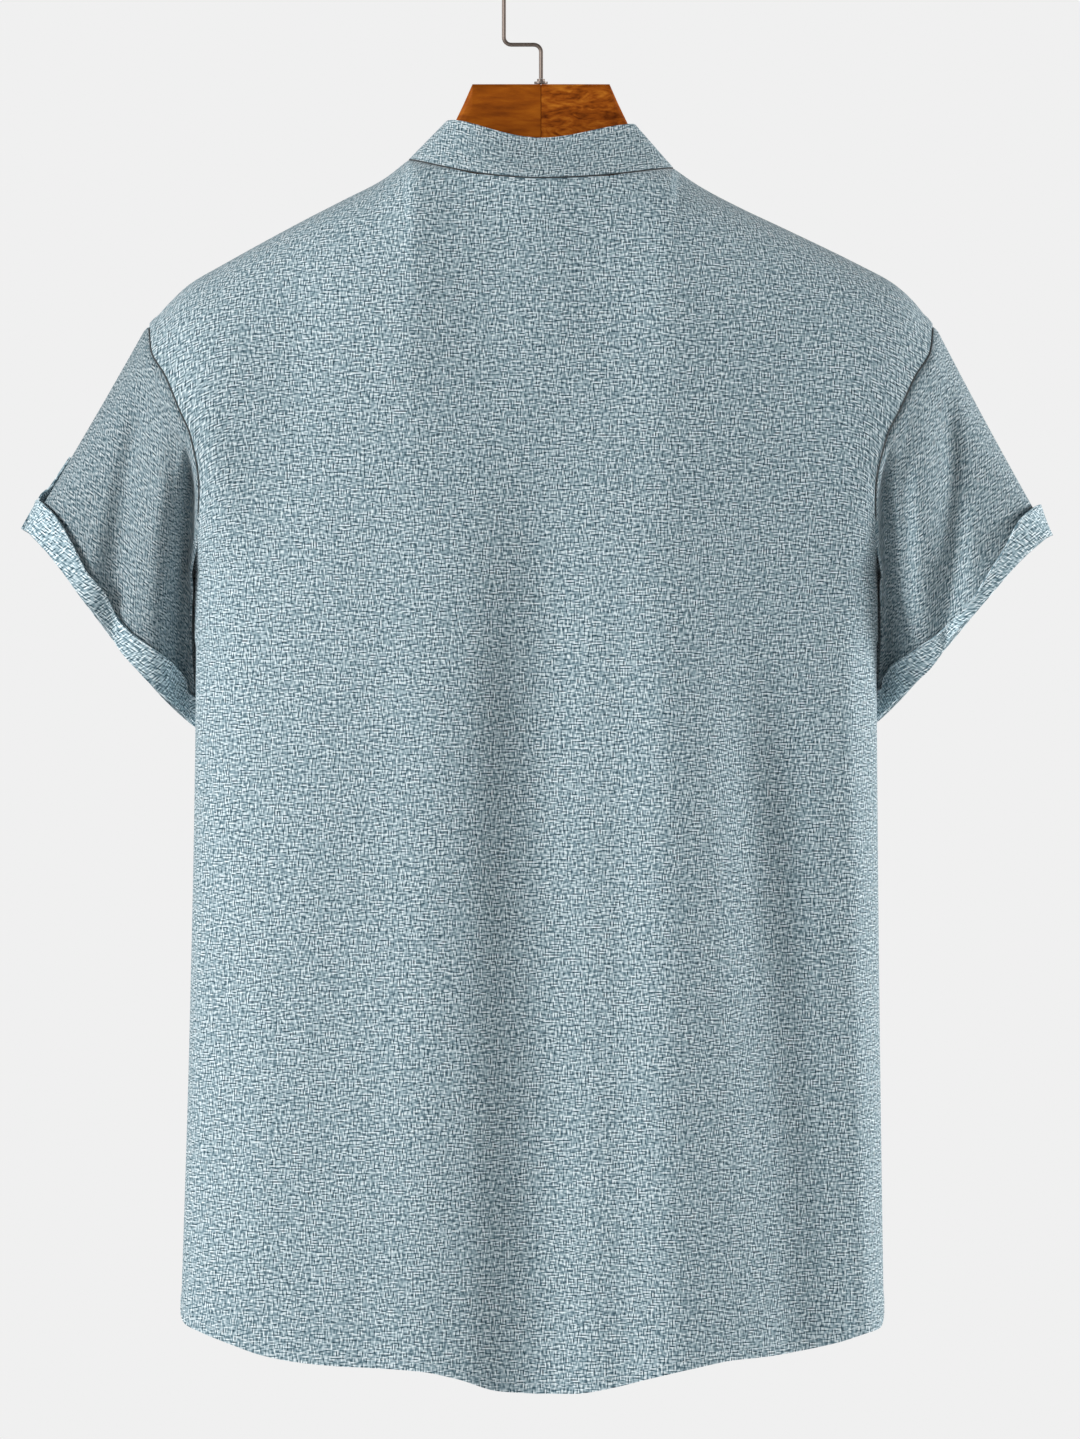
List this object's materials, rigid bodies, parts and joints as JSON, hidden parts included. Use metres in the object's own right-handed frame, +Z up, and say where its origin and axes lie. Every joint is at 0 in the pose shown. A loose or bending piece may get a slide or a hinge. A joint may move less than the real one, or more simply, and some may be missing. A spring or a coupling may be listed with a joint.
{
  "type": "mandarin collar shirt on a wooden hanger",
  "caption": "Short-sleeved shirt with a band collar and turned-up cuffs, hanging on a wooden hanger with a wire hook.",
  "frame": {"origin": "inner top of the hanger's hook, where the rail carries it", "axes": "+Z up, the shirt's front faces -Y, the wearer's left is +X"},
  "size_m": [0.6406, 0.1498, 0.8855],
  "materials": {
    "cloth": "grey-blue heathered plain weave with slubs",
    "button": "matt grey-blue",
    "wood": "orange-brown stain under a satin varnish",
    "wire": "nickel-plated wire"
  },
  "bodies": {
    "root": {"back": "cloth", "front_left": "cloth", "front_right": "cloth", "placket": "cloth", "button_1": "button", "button_2": "button", "button_3": "button", "button_4": "button", "button_5": "button", "button_6": "button", "button_7": "button", "collar_band": "cloth", "sleeve_left": "cloth", "cuff_left": "cloth", "tab_left": "cloth", "tab_button_left": "button", "hanger_left": "wood", "sleeve_right": "cloth", "cuff_right": "cloth", "tab_right": "cloth", "tab_button_right": "button", "hanger_right": "wood", "hook": "wire", "hook_ferrule": "wire"}
  },
  "joints": []
}
